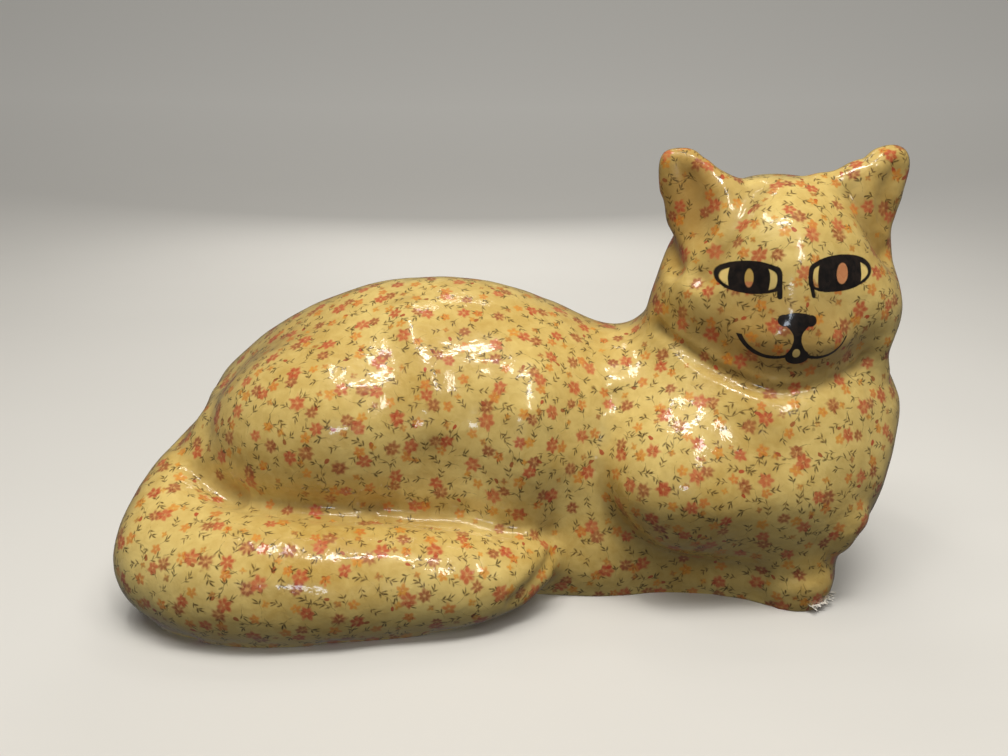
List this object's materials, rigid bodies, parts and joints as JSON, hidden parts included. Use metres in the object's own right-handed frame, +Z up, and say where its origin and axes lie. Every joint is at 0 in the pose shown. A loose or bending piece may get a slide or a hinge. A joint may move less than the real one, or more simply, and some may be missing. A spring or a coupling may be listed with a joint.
{
  "type": "papier-mache cat figure",
  "caption": "Papier-mache cat lying down, head turned over its right shoulder and tail along its side, covered in small-flowered paper under glossy varnish.",
  "frame": {"origin": "middle of the overall box, on the surface that the cat rests on", "axes": "+X from the rump to the chest, +Z up; the cat's right side, with its face and tail, is towards -Y"},
  "size_m": [0.4494, 0.2548, 0.2513],
  "materials": {
    "calico_paper": "yellowed gloss varnish over flowered paper"
  },
  "bodies": {
    "root": {"cat": "calico_paper"}
  },
  "joints": []
}
